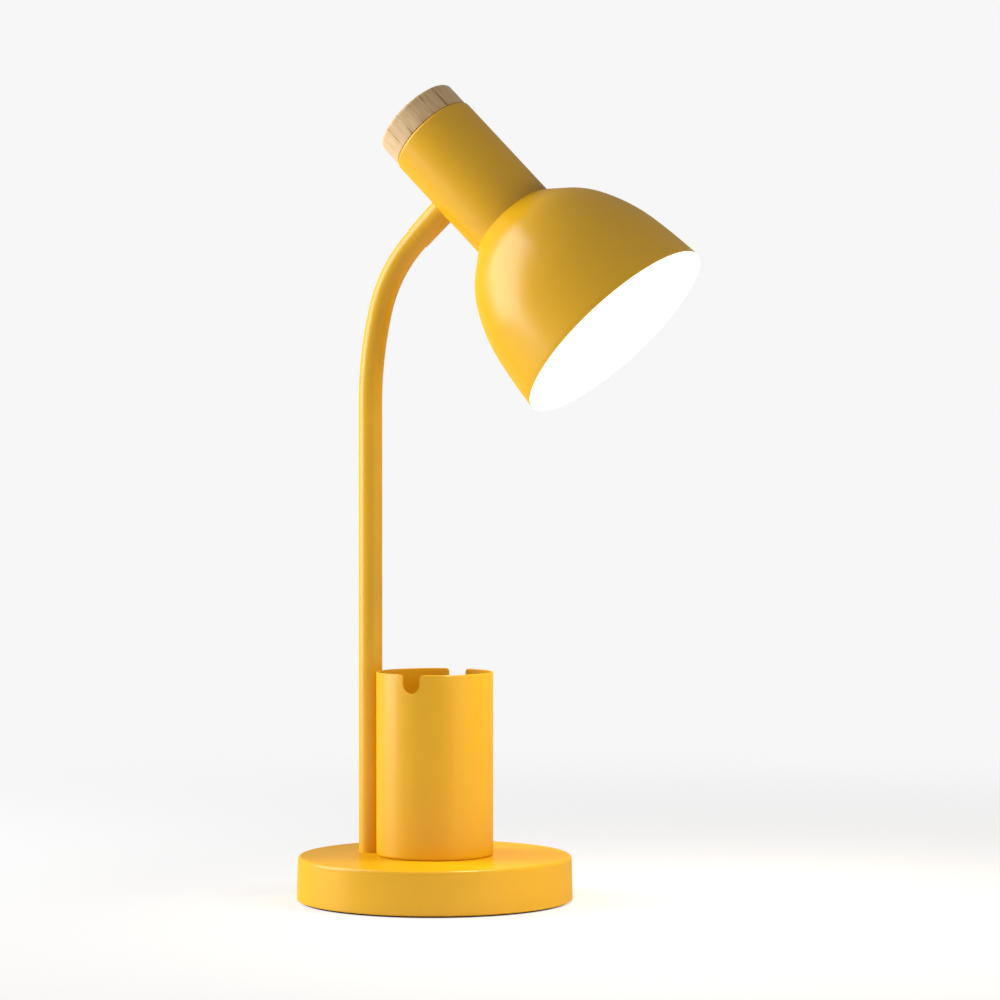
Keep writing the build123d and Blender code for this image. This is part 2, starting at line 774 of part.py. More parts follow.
# Opal globe: a hollow ball cut flat where it meets the collar
globe_radius = bulb_globe_diameter / 2
globe_sink = (globe_radius**2 - (bulb_collar_diameter / 2) ** 2) ** 0.5
globe_centre = collar_front - globe_sink
with BuildPart() as bulb_globe:
    with BuildSketch(head_section):
        with Locations((0, globe_centre)):
            Circle(globe_radius)
            Circle(globe_radius - bulb_globe_wall, mode=Mode.SUBTRACT)
        with Locations((0, collar_front)):
            Rectangle(bulb_globe_diameter, bulb_globe_diameter, align=(Align.CENTER, Align.MIN),
                      mode=Mode.SUBTRACT)
        with Locations((0, globe_centre)):
            Rectangle(bulb_globe_diameter, 2 * bulb_globe_diameter, align=(Align.MAX, Align.CENTER),
                      mode=Mode.SUBTRACT)
    revolve(axis=head_axis)
save(bulb_globe, "bulb_globe")

# Switch housing with a bezel outside the wall, a pocket for the rocker and two pivot holes
with BuildPart() as switch_housing:
    with BuildSketch(switch_plane):
        Rectangle(bezel_width, bezel_height)
    extrude(amount=bezel_thickness)
    with BuildSketch(switch_plane):
        Rectangle(housing_width, housing_height)
    extrude(amount=-housing_depth)
    with BuildSketch(bezel_face):
        Rectangle(cavity_width, cavity_height)
    extrude(amount=-cavity_depth, mode=Mode.SUBTRACT)
    with BuildSketch(Plane(pivot_point, x_dir=(0, 0, 1), z_dir=switch_along)):
        Circle(pivot_pin_diameter / 2 + pivot_pin_clearance)
    extrude(amount=cavity_width / 2 + pivot_pin_length, both=True, mode=Mode.SUBTRACT)
save(switch_housing, "switch_housing")

# Rocker, built with its lower half pressed in; its two stub pins turn in the housing
rocker_up = Vector(0, 0, cos(radians(rocker_tilt))) + switch_out * sin(radians(rocker_tilt))
rocker_plane = Plane(pivot_point, x_dir=rocker_up, z_dir=switch_along)
with BuildPart() as switch_rocker:
    with BuildSketch(rocker_plane):
        with BuildLine():
            Polyline(
                (-rocker_length / 2, rocker_crown),
                (0, rocker_crown - rocker_dip),
                (rocker_length / 2, rocker_crown),
                (rocker_root_length / 2, -rocker_root),
                (-rocker_root_length / 2, -rocker_root),
                close=True,
            )
        make_face()
    extrude(amount=rocker_width / 2, both=True)
    with BuildSketch(rocker_plane):
        Circle(pivot_pin_diameter / 2)
    extrude(amount=rocker_width / 2 + pivot_pin_length, both=True)
save(switch_rocker, "switch_rocker")

# Solder tabs behind the switch and their wires to the connector block
with BuildPart() as switch_tabs:
    with BuildSketch(switch_plane.offset(-housing_depth)):
        with Locations((0, -tab_drop)):
            with GridLocations(tab_spacing, 0, 2, 1):
                Rectangle(tab_width, tab_thickness)
    extrude(amount=-tab_length)
save(switch_tabs, "switch_tabs")

block_side = block_width / 2
with BuildPart() as switch_wires:
    for side in (-1, 1):
        tab_tip = (side * tab_spacing / 2, -tab_drop, -housing_depth - tab_length)
        tab_end = switch_plane.from_local_coords(tab_tip)
        start_x = stem_x - wire_spread / 2 - side * wire_spread / 2
        start = Vector(start_x, block_side, tab_end.Z)
        with BuildLine():
            Spline(start, tab_end, tangents=((0, 1, 0), switch_out))
        with BuildSketch(Plane(start, x_dir=(1, 0, 0), z_dir=(0, 1, 0))):
            Circle(wire_diameter / 2)
        sweep()
save(switch_wires, "switch_wires")

# Connector block on the bottom plate, under the gooseneck's foot, and its clamp screws
block_plane = Plane((stem_x, 0, plate_top))
block_screw_places = GridLocations(block_screw_spacing_x, block_screw_spacing_y, 2, 2)
with BuildPart() as connector_block:
    with BuildSketch(block_plane):
        Rectangle(block_length, block_width)
    extrude(amount=block_height)
save(connector_block, "connector_block")

with BuildPart() as connector_screws:
    with BuildSketch(block_plane.offset(block_height)):
        with block_screw_places:
            Circle(block_screw_diameter / 2)
            Rectangle(block_screw_diameter, block_screw_slot, mode=Mode.SUBTRACT)
    extrude(amount=block_screw_head_height)
    with BuildSketch(block_plane.offset(block_height)):
        with block_screw_places:
            Circle(block_screw_diameter / 2)
    extrude(amount=block_screw_head_height / 2)
save(connector_screws, "connector_screws")

# Rubber bush round the cord's way into the base
with BuildPart() as cord_bush:
    with BuildSketch(inlet_plane):
        Circle(bush_flange_diameter / 2)
    extrude(amount=bush_flange_thickness)
    fillet(cord_bush.edges().sort_by(Axis.X)[0], bush_flange_thickness / 2)
    with BuildSketch(inlet_plane):
        Circle(bush_diameter / 2)
    extrude(amount=-bush_tail)
    with BuildSketch(inlet_plane.offset(bush_flange_thickness)):
        Circle(inlet_bore / 2)
    extrude(amount=-bush_flange_thickness - bush_tail, mode=Mode.SUBTRACT)
save(cord_bush, "cord_bush")
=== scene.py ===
import json
from math import cos, pi, radians, sin, tan

import bmesh
import bpy
from bpy.props import FloatProperty, FloatVectorProperty, PointerProperty
from bpy.types import Operator, Panel, PropertyGroup
from mathutils import Matrix, Vector


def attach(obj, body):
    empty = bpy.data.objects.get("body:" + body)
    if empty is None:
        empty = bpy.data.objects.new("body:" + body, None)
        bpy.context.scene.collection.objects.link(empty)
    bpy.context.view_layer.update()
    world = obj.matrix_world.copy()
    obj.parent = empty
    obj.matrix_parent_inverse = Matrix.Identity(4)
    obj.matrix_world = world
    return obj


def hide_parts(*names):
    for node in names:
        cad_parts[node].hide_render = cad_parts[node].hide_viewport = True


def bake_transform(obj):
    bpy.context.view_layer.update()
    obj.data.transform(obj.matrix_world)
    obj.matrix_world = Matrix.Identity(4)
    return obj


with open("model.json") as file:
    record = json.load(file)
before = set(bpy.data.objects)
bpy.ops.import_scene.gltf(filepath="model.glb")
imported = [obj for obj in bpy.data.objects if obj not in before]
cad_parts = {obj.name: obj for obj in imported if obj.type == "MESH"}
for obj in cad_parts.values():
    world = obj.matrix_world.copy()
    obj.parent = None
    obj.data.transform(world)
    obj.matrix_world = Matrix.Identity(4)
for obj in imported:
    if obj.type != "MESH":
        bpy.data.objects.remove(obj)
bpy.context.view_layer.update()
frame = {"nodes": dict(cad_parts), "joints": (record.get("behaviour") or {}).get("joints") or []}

bl_info = {
    "name": "Desk Lamp with Pen Cup",
    "version": (1, 0, 0),
    "blender": (4, 5, 0),
    "location": "View3D > Sidebar > Desk Lamp",
    "description": "Dresses a gooseneck desk lamp: paint, oak, enamel, light and stage",
    "category": "Object",
}

MM = 0.001


def linear(hex_colour):
    """An sRGB hex colour as linear red, green, blue and alpha."""
    parts = [int(hex_colour[i:i + 2], 16) / 255 for i in (0, 2, 4)]
    return [c / 12.92 if c <= 0.04045 else ((c + 0.055) / 1.055) ** 2.4 for c in parts] + [1.0]


def per(size_mm):
    """Texture scale at which one feature of a pattern is this many millimetres wide."""
    return 1 / (size_mm * MM)


class LampFinish(PropertyGroup):
    """Colours and surface grain of the lamp's materials"""

    paint: FloatVectorProperty(
        name="Paint", description="Colour of the powder coat",
        subtype="COLOR", size=4, min=0, max=1, default=linear("E2AB12"))
    paint_roughness: FloatProperty(
        name="Paint roughness", description="How far the satin coat spreads a reflection",
        subtype="FACTOR", min=0, max=1, default=0.28)
    paint_sheen: FloatProperty(
        name="Paint sheen", description="Share of the coat that mirrors its surroundings",
        subtype="FACTOR", min=0, max=1, default=0.2)
    peel_width: FloatProperty(
        name="Peel width", description="Width of one bump of the coat's orange peel",
        unit="LENGTH", default=1.1 * MM)
    oak_pale: FloatVectorProperty(
        name="Early wood", description="Palest colour of the oak cap",
        subtype="COLOR", size=4, min=0, max=1, default=linear("E4C598"))
    oak_dark: FloatVectorProperty(
        name="Late wood", description="Darkest colour of the oak cap",
        subtype="COLOR", size=4, min=0, max=1, default=linear("C39E6E"))
    grain_width: FloatProperty(
        name="Grain width", description="Width of one grain line across the cap",
        unit="LENGTH", default=1.5 * MM)
    strip_width: FloatProperty(
        name="Strip width", description="Width of one of the strips that the cap is glued up from",
        unit="LENGTH", default=8.1 * MM)


class LampLight(PropertyGroup):
    """How strongly the lit lamp glows"""

    glow: FloatVectorProperty(
        name="Glow", description="Colour of the lamp's light",
        subtype="COLOR", size=4, min=0, max=1, default=linear("FFF6E6"))
    bulb_strength: FloatProperty(
        name="Bulb", description="Strength of the glow of the opal globe", default=1.1)
    # Strength of the painted glow of the enamel inside the shade, which stands in for the bulb's
    # light on it
    enamel_painted_glow: FloatProperty(
        name="Enamel", description="Strength of the light that the enamel throws back",
        default=0.55)
    beam_colour: FloatVectorProperty(
        name="Beam colour", description="Colour of the light that leaves the shade",
        subtype="COLOR", size=3, min=0, max=1, default=linear("FFEACC")[:3])
    beam_power: FloatProperty(
        name="Beam", description="Power of the light that leaves the mouth of the shade",
        unit="POWER", default=1.4)


class LampSizes(PropertyGroup):
    """Sizes of the pieces that are made here"""

    sleeve_radius: FloatProperty(
        name="Sleeve radius", description="Outer radius of the gooseneck's sleeve",
        unit="LENGTH", default=6.5 * MM)
    sleeve_wall: FloatProperty(
        name="Sleeve wall", description="Thickness of the gooseneck's sleeve",
        unit="LENGTH", default=1.0 * MM)
    lead_radius: FloatProperty(
        name="Lead radius", description="Radius of the lead inside the gooseneck",
        unit="LENGTH", default=1.9 * MM)
    mouth_radius: FloatProperty(
        name="Mouth radius", description="Outer radius of the shade's mouth",
        unit="LENGTH", default=60.3 * MM)
    shade_wall: FloatProperty(
        name="Shade wall", description="Thickness of the shade",
        unit="LENGTH", default=1.0 * MM)


class LampStage(PropertyGroup):
    """Camera and studio light"""

    camera_place: FloatVectorProperty(
        name="Camera place", description="Where the camera stands",
        subtype="TRANSLATION", default=(802.64 * MM, -1799.43 * MM, 254.0 * MM))
    camera_turn: FloatProperty(
        name="Camera turn", description="How far the camera stands to the side of the lamp",
        unit="ROTATION", default=radians(23.0))
    camera_tilt: FloatProperty(
        name="Camera tilt", description="How far the camera looks down",
        unit="ROTATION", default=radians(1.003))
    lens: FloatProperty(
        name="Lens", description="Focal length in millimetres", default=129.57)
    key_power: FloatProperty(
        name="Key", description="Power of the tall soft light on the left",
        unit="POWER", default=33.0)
    fill_power: FloatProperty(
        name="Fill", description="Power of the low soft light on the right",
        unit="POWER", default=5.5)
    ambient: FloatProperty(
        name="Ambient", description="Strength of the even light from all round", default=0.18)
    backdrop: FloatProperty(
        name="Backdrop", description="How white the surround looks, where 1 is white",
        subtype="FACTOR", min=0, max=1, default=0.93)
    floor: FloatProperty(
        name="Floor", description="Share of the light that the pale floor throws back",
        subtype="FACTOR", min=0, max=1, default=0.89)
    floor_shadow: FloatProperty(
        name="Floor shadow", description="How strongly light and shadow show on the floor",
        subtype="FACTOR", min=0, max=1, default=0.42)
    floor_lift: FloatProperty(
        name="Floor lift", description="White that is added to the floor beside the lamp",
        subtype="FACTOR", min=0, max=1, default=0.57)


# Line of the gooseneck: up behind the cup, a slow bend, then a tighter one
STEM_X = -38.8 * MM
STEM_FOOT = 25.0 * MM
RISER = 247.5 * MM
STEM_ARCS = ((214.0 * MM, radians(14.0)), (80.0 * MM, radians(31.5)))
END_RUN = 1.0 * MM
STEM_LENGTH = RISER + sum(radius * turn for radius, turn in STEM_ARCS) + END_RUN

# The part of that line that bends: where it starts, what stays straight before the ferrule,
# and a margin at the two ends of each length, from which points are worked out but not used
FLEX_START = 115.0 * MM
FLEX_END_MARGIN = 9.0 * MM
BLEND_MARGIN = 0.4 * MM

# Rings along the line: up to the part that bends, on to the first arc, and in each arc
FOOT_STEPS, RISER_STEPS, ARC_STEPS = 6, 52, 20
TUBE_SEGMENTS = 48

# How near points count as one or as on a cut, and the angle from which a corner stays sharp
MERGE_DISTANCE = 0.002 * MM
CUT_DISTANCE = 0.001 * MM
SHARP_ANGLE = radians(32.0)

# Outline of the shade from the mouth up: lean of the skirt, then each arc's radius and turn
SKIRT_LEAN = radians(4.6)
SHADE_ARCS = (
    (375.0 * MM, radians(4.5)), (100.0 * MM, radians(19.0)), (50.5 * MM, radians(19.0)))
SHADE_ARC_STEPS = (8, 14, 10)
SHADE_SEGMENTS = 168
NECK_RADIUS = 25.3 * MM
HOLDER_HOLE = 19.8 * MM
RIM_ROUND, RIM_SEGMENTS = 0.35 * MM, 3
TOUCH = 0.01 * MM
STEM_ABOVE_CREASE = 35.1 * MM
FERRULE_LENGTH = 20.8 * MM

# How far a face of the shade has to look inwards, or out of the mouth, to be enamelled
LOOKS_INWARDS, LOOKS_OUT = -0.1, -0.5

# Depth in the shade up to which the enamel's painted glow is full, and at which it ends
GLOW_FULL, GLOW_END = 34.0 * MM, 70.0 * MM
BEAM_WIDTH = 100.0 * MM
BEAM_DEPTH = 3.0 * MM

# Strips of the oak cap: their turn about the head's axis, where the first glue line lies, and
# the distances from a glue line, in strips, between which it fades
STRIP_TURN = radians(17.5)
STRIP_OFFSET = 0.08
GLUE_INNER, GLUE_OUTER = 0.02, 0.06

# How much the grain and the strip's own tone darken the wood, and how dark a glue line gets
GRAIN_SHARE, STRIP_SHARE, GLUE_SHARE = 0.75, 0.3, 0.9

# Sizes of the patterns, in millimetres
CLOUD_MM, MOTTLE_MM, FROST_MM, GRAIN_LENGTH_MM, GLUE_WEAR_MM = 45.0, 2.0, 1.5, 11.0, 9.0

# Plain colours, and the index of refraction of the paint's coat
WHITE, GLUE_BROWN = linear("FFFFFF"), linear("7A5A35")
ENAMEL_WHITE, OPAL_WHITE = linear("F4F2EC"), linear("F7F4EE")
COAT_IOR = 2.5

# The lead inside the gooseneck: from the connector block to the back of the lampholder
LEAD_BELOW = 13.5 * MM
LEAD_BEND = 7.0 * MM
LEAD_TAIL = 5.1 * MM
LEAD_RUN_STEPS, LEAD_BEND_STEPS = 4, 10

# Width of the camera's sensor in millimetres, and the distances that it sees
SENSOR_WIDTH = 36.0
CLIP_START, CLIP_END = 0.05, 100.0

# Soft lights: width and height, height of the middle, then place to the right and to the front
KEY_SIZE, KEY_HEIGHT, KEY_RIGHT, KEY_FRONT = (1.0, 1.6), 0.72, -1.29, -0.15
FILL_SIZE, FILL_HEIGHT, FILL_RIGHT, FILL_FRONT = (0.8, 0.4), 0.13, 0.9, 0.65
AIM_HEIGHT = 0.22

# Half width of the floor, and the distances between which it fades into the backdrop
FLOOR_REACH = 40.0
FADE_START, FADE_END = 0.2, 1.0


def stem_point(distance):
    """A point of the gooseneck's line at a distance from its foot, and its direction there."""
    run = min(distance, RISER)
    point, lean = Vector((STEM_X, 0, STEM_FOOT + run)), 0.0
    distance -= run
    for radius, angle in STEM_ARCS:
        turn = min(distance / radius, angle)
        across = Vector((cos(lean) - cos(lean + turn), 0, sin(lean + turn) - sin(lean)))
        point += radius * across
        lean += turn
        distance -= turn * radius
    direction = Vector((sin(lean), 0, cos(lean)))
    return point + direction * distance, direction


def shade_outline(mouth_radius, inset):
    """Arcs of the shade's outline as start, centre and turn, its end on the seat, the crease."""
    lean, arcs = SKIRT_LEAN, []
    point = Vector((mouth_radius, 0, 0))
    for radius, turn in SHADE_ARCS:
        outward = Vector((cos(lean), 0, sin(lean)))
        centre = point - radius * outward
        arcs.append((point - inset * outward, centre, turn))
        lean += turn
        point = centre + radius * Vector((cos(lean), 0, sin(lean)))
    crease = point.z + (point.x - NECK_RADIUS) / tan(lean)
    start = point - inset * Vector((cos(lean), 0, sin(lean)))
    seat = crease - inset
    end = Vector((start.x - (seat - start.z) * tan(lean), 0, seat))
    return arcs, end, crease


def head_matrix(mouth_radius):
    """Frame of the head: z back along its axis from the middle of the mouth, x up across it."""
    end, up = stem_point(STEM_LENGTH)
    crease = shade_outline(mouth_radius, 0)[2]
    back = Vector((-up.z, 0, up.x))
    mouth = end + up * (FERRULE_LENGTH + NECK_RADIUS) - back * (crease + STEM_ABOVE_CREASE)
    turn = Matrix((up, (0, 1, 0), back)).transposed().to_4x4()
    return Matrix.Translation(mouth) @ turn


def add_node(tree, kind, inputs=None, **settings):
    """Add a node, set its properties, and set or link its inputs by name."""
    node = tree.nodes.new(kind)
    for name, value in settings.items():
        setattr(node, name, value)
    for name, value in (inputs or {}).items():
        if isinstance(value, bpy.types.NodeSocket):
            tree.links.new(value, node.inputs[name])
        else:
            node.inputs[name].default_value = value
    return node


def new_material(name):
    """A node material with its surface shader and the object's own coordinates."""
    material = bpy.data.materials.new(name)
    material.use_nodes = True
    tree = material.node_tree
    tree.nodes.clear()
    shader = add_node(tree, "ShaderNodeBsdfPrincipled")
    add_node(tree, "ShaderNodeOutputMaterial", {"Surface": shader.outputs["BSDF"]})
    place = add_node(tree, "ShaderNodeTexCoord").outputs["Object"]
    return material, tree, shader, place


def new_piece(name, bm, *materials):
    """Turn a finished bmesh into a smooth object that keeps its sharp corners."""
    mesh = bpy.data.meshes.new(name)
    for face in bm.faces:
        face.smooth = True
    bm.to_mesh(mesh)
    bm.free()
    mesh.set_sharp_from_angle(angle=SHARP_ANGLE)
    for material in materials:
        mesh.materials.append(material)
    piece = bpy.data.objects.new(name, mesh)
    bpy.context.scene.collection.objects.link(piece)
    return piece


def dress(material, *nodes):
    """Give CAD nodes a material in place of their plain one."""
    for name in nodes:
        materials = frame["nodes"][name].data.materials
        materials.clear()
        materials.append(material)


def speckled(name, pale, dark, size_mm, rough, bump_mm, metallic=0.0):
    """A plain material with a fine mottle in its colour, shine and relief."""
    material, tree, shader, place = new_material(name)
    mottle = add_node(tree, "ShaderNodeTexNoise", {
        "Vector": place, "Scale": per(size_mm), "Detail": 3.0})
    share = mottle.outputs["Fac"]
    # Inputs 6 and 7 of a Mix node are its two colours, and output 2 the mixed one
    tone = add_node(tree, "ShaderNodeMix", {
        "Factor": share, 6: linear(dark), 7: linear(pale)}, data_type="RGBA")
    tree.links.new(tone.outputs[2], shader.inputs["Base Color"])
    shine = add_node(tree, "ShaderNodeMapRange", {
        "Value": share, "To Min": rough[0], "To Max": rough[1]})
    tree.links.new(shine.outputs["Result"], shader.inputs["Roughness"])
    bump = add_node(tree, "ShaderNodeBump", {
        "Height": share, "Strength": 0.5, "Distance": bump_mm * MM})
    tree.links.new(bump.outputs["Normal"], shader.inputs["Normal"])
    shader.inputs["Metallic"].default_value = metallic
    return material


def along_head(tree, place, head):
    """Coordinates in the frame of the head, from the object's own."""
    turned = head.inverted()
    return add_node(tree, "ShaderNodeMapping", {
        "Vector": place, "Location": turned.translation,
        "Rotation": turned.to_euler()}).outputs["Vector"]


# Polyester powder coat, sprayed and stoved: one even colour with faint clouds, a satin sheen
# that stays low towards the edges, and a fine orange peel that is drawn a little coarse to show
def powder_coat():
    """Golden satin paint of the base, the cup, the neck, the shade and the sleeve."""
    finish = bpy.context.scene.lamp_finish
    material, tree, shader, place = new_material("satin_powder_coat")
    cloud = add_node(tree, "ShaderNodeTexNoise", {
        "Vector": place, "Scale": per(CLOUD_MM), "Detail": 2.0})
    value = add_node(tree, "ShaderNodeMapRange", {
        "Value": cloud.outputs["Fac"], "To Min": 0.97, "To Max": 1.03})
    tone = add_node(tree, "ShaderNodeHueSaturation", {
        "Color": finish.paint, "Value": value.outputs["Result"]})
    tree.links.new(tone.outputs["Color"], shader.inputs["Base Color"])
    # A thin coat of a high index mirrors nearly as much face on as it does at the edges
    shader.inputs["Specular IOR Level"].default_value = 0.0
    shader.inputs["Coat Weight"].default_value = finish.paint_sheen
    shader.inputs["Coat Roughness"].default_value = finish.paint_roughness
    shader.inputs["Coat IOR"].default_value = COAT_IOR
    peel = add_node(tree, "ShaderNodeTexNoise", {
        "Vector": place, "Scale": 1 / finish.peel_width, "Detail": 1.0, "Roughness": 0.4})
    shine = add_node(tree, "ShaderNodeMapRange", {
        "Value": peel.outputs["Fac"],
        "To Min": finish.paint_roughness + 0.1, "To Max": finish.paint_roughness + 0.2})
    tree.links.new(shine.outputs["Result"], shader.inputs["Roughness"])
    bump = add_node(tree, "ShaderNodeBump", {
        "Height": peel.outputs["Fac"], "Strength": 0.05, "Distance": 0.03 * MM})
    tree.links.new(bump.outputs["Normal"], shader.inputs["Normal"])
    return material


# White enamel, sprayed and stoved: a soft gloss, with a painted glow near the mouth that stands in
# for the bulb's light falling on it
def white_enamel_painted_glow(head):
    """White inside of the shade, with a painted glow near the mouth."""
    light = bpy.context.scene.lamp_light
    material, tree, shader, place = new_material("white_enamel_painted_glow")
    shader.inputs["Base Color"].default_value = ENAMEL_WHITE
    mottle = add_node(tree, "ShaderNodeTexNoise", {
        "Vector": place, "Scale": per(MOTTLE_MM), "Detail": 2.0})
    shine = add_node(tree, "ShaderNodeMapRange", {
        "Value": mottle.outputs["Fac"], "To Min": 0.32, "To Max": 0.4})
    tree.links.new(shine.outputs["Result"], shader.inputs["Roughness"])
    depth = add_node(tree, "ShaderNodeSeparateXYZ", {"Vector": along_head(tree, place, head)})
    # Painted glow: the enamel emits light, full near the mouth and fading to none deeper in, in
    # place of the bulb's light on it
    bright = add_node(tree, "ShaderNodeMapRange", {
        "Value": depth.outputs["Z"], "From Min": GLOW_FULL, "From Max": GLOW_END,
        "To Min": light.enamel_painted_glow, "To Max": 0.0})
    tree.links.new(bright.outputs["Result"], shader.inputs["Emission Strength"])
    shader.inputs["Emission Color"].default_value = light.glow
    return material


# Opal polycarbonate, blown and frosted: an even glow from inside under a dull, faint mottle
def opal_globe():
    """Lit globe of the bulb."""
    light = bpy.context.scene.lamp_light
    material, tree, shader, place = new_material("opal_polycarbonate")
    frost = add_node(tree, "ShaderNodeTexNoise", {
        "Vector": place, "Scale": per(FROST_MM), "Detail": 2.0})
    shine = add_node(tree, "ShaderNodeMapRange", {
        "Value": frost.outputs["Fac"], "To Min": 0.4, "To Max": 0.5})
    tree.links.new(shine.outputs["Result"], shader.inputs["Roughness"])
    shader.inputs["Base Color"].default_value = OPAL_WHITE
    shader.inputs["Emission Color"].default_value = light.glow
    shader.inputs["Emission Strength"].default_value = light.bulb_strength
    return material


# Pale oak, glued up from strips, turned and oiled: each strip has its own tone and its own
# fine grain along the cap's axis, with thin dark glue lines that come and go, and a low shine
def turned_oak(head):
    """Turned cap at the back of the neck."""
    finish = bpy.context.scene.lamp_finish
    material, tree, shader, place = new_material("turned_oak")
    along = along_head(tree, place, head)

    # Count of strips across the cap: its whole part numbers the strip
    width = 1 / finish.strip_width
    strip = add_node(tree, "ShaderNodeVectorMath", {
        0: along, 1: (width * cos(STRIP_TURN), width * sin(STRIP_TURN), 0)},
        operation="DOT_PRODUCT")
    strip = add_node(tree, "ShaderNodeMath", {
        0: strip.outputs["Value"], 1: STRIP_OFFSET}).outputs[0]
    number = add_node(tree, "ShaderNodeMath", {0: strip}, operation="FLOOR").outputs[0]
    own = add_node(tree, "ShaderNodeTexWhiteNoise", {"W": number}, noise_dimensions="1D")

    # Grain lines, long along the axis, from another place in the noise for each strip
    moved = add_node(tree, "ShaderNodeVectorMath", {
        0: along, 1: own.outputs["Color"]}).outputs[0]
    grain = 1 / finish.grain_width
    streak = add_node(tree, "ShaderNodeMapping", {
        "Vector": moved, "Scale": (grain, grain, per(GRAIN_LENGTH_MM))})
    lines = add_node(tree, "ShaderNodeTexNoise", {
        "Vector": streak.outputs["Vector"], "Scale": 1.0, "Detail": 3.0, "Roughness": 0.6,
        "Distortion": 0.9})
    share = add_node(tree, "ShaderNodeMapRange", {
        "Value": lines.outputs["Fac"], "From Min": 0.3, "From Max": 0.72,
        "To Max": GRAIN_SHARE})
    share = add_node(tree, "ShaderNodeMath", {
        0: own.outputs["Value"], 1: STRIP_SHARE, 2: share.outputs["Result"]},
        operation="MULTIPLY_ADD")
    wood = add_node(tree, "ShaderNodeMix", {
        "Factor": share.outputs[0], 6: finish.oak_pale, 7: finish.oak_dark}, data_type="RGBA")

    # Glue lines between the strips, each worn away in places
    border = add_node(tree, "ShaderNodeMath", {0: strip}, operation="ROUND").outputs[0]
    apart = add_node(tree, "ShaderNodeTexWhiteNoise", {"W": border}, noise_dimensions="1D")
    apart = add_node(tree, "ShaderNodeVectorMath", {
        0: along, 1: apart.outputs["Color"]}).outputs[0]
    worn = add_node(tree, "ShaderNodeTexNoise", {
        "Vector": apart, "Scale": per(GLUE_WEAR_MM), "Detail": 1.0})
    worn = add_node(tree, "ShaderNodeMapRange", {
        "Value": worn.outputs["Fac"], "From Min": 0.4, "From Max": 0.65,
        "To Max": GLUE_SHARE})
    beside = add_node(tree, "ShaderNodeMath", {0: strip, 1: 0.5}, operation="PINGPONG")
    glue = add_node(tree, "ShaderNodeMapRange", {
        "Value": beside.outputs[0], "From Min": GLUE_INNER, "From Max": GLUE_OUTER,
        "To Min": 1.0, "To Max": 0.0})
    seam = add_node(tree, "ShaderNodeMath", {
        0: glue.outputs["Result"], 1: worn.outputs["Result"]}, operation="MULTIPLY")
    dark = add_node(tree, "ShaderNodeMix", {
        "Factor": seam.outputs[0], 6: wood.outputs[2], 7: GLUE_BROWN}, data_type="RGBA")
    tree.links.new(dark.outputs[2], shader.inputs["Base Color"])

    shine = add_node(tree, "ShaderNodeMapRange", {
        "Value": lines.outputs["Fac"], "To Min": 0.48, "To Max": 0.62})
    tree.links.new(shine.outputs["Result"], shader.inputs["Roughness"])
    shader.inputs["Specular IOR Level"].default_value = 0.25
    bump = add_node(tree, "ShaderNodeBump", {
        "Height": lines.outputs["Fac"], "Strength": 0.3, "Distance": 0.1 * MM}, invert=True)
    tree.links.new(bump.outputs["Normal"], shader.inputs["Normal"])
    return material


def surround_rays(tree):
    """Share of the surround's white that a ray sees: all of it where it is seen or mirrored."""
    rays = add_node(tree, "ShaderNodeLightPath").outputs
    mirrored = add_node(tree, "ShaderNodeMath", {
        0: rays["Is Glossy Ray"], 1: rays["Is Transmission Ray"]}, operation="MAXIMUM")
    return add_node(tree, "ShaderNodeMath", {
        0: rays["Is Camera Ray"], 1: mirrored.outputs[0]}, operation="MAXIMUM").outputs[0]


# Matt white studio paper: it lights the lamp as real paper does, but where it is seen, its
# light and shadow are softened and fade into the backdrop
def studio_paper(stage):
    """Paper of the floor."""
    paper = bpy.data.materials.new("studio_paper")
    paper.use_nodes = True
    tree = paper.node_tree
    tree.nodes.clear()
    seen = surround_rays(tree)
    place = add_node(tree, "ShaderNodeTexCoord").outputs["Object"]
    reach = add_node(tree, "ShaderNodeVectorMath", {0: place}, operation="LENGTH")
    ring = {"Value": reach.outputs["Value"], "From Min": FADE_START, "From Max": FADE_END}
    kept = add_node(tree, "ShaderNodeMapRange", {
        **ring, "To Min": stage.floor_shadow, "To Max": 0.0}, interpolation_type="SMOOTHSTEP")
    tone = add_node(tree, "ShaderNodeMapRange", {
        "Value": seen, "To Min": stage.floor, "To Max": kept.outputs["Result"]})
    matte = add_node(tree, "ShaderNodeBsdfDiffuse", {"Color": tone.outputs["Result"]})
    lift = add_node(tree, "ShaderNodeMapRange", {
        **ring, "To Min": stage.floor_lift, "To Max": stage.backdrop},
        interpolation_type="SMOOTHSTEP")
    glow = add_node(tree, "ShaderNodeMath", {
        0: lift.outputs["Result"], 1: seen}, operation="MULTIPLY")
    white = add_node(tree, "ShaderNodeEmission", {
        "Color": WHITE, "Strength": glow.outputs[0]})
    both = add_node(tree, "ShaderNodeAddShader", {0: matte.outputs[0], 1: white.outputs[0]})
    add_node(tree, "ShaderNodeOutputMaterial", {"Surface": both.outputs[0]})
    return paper


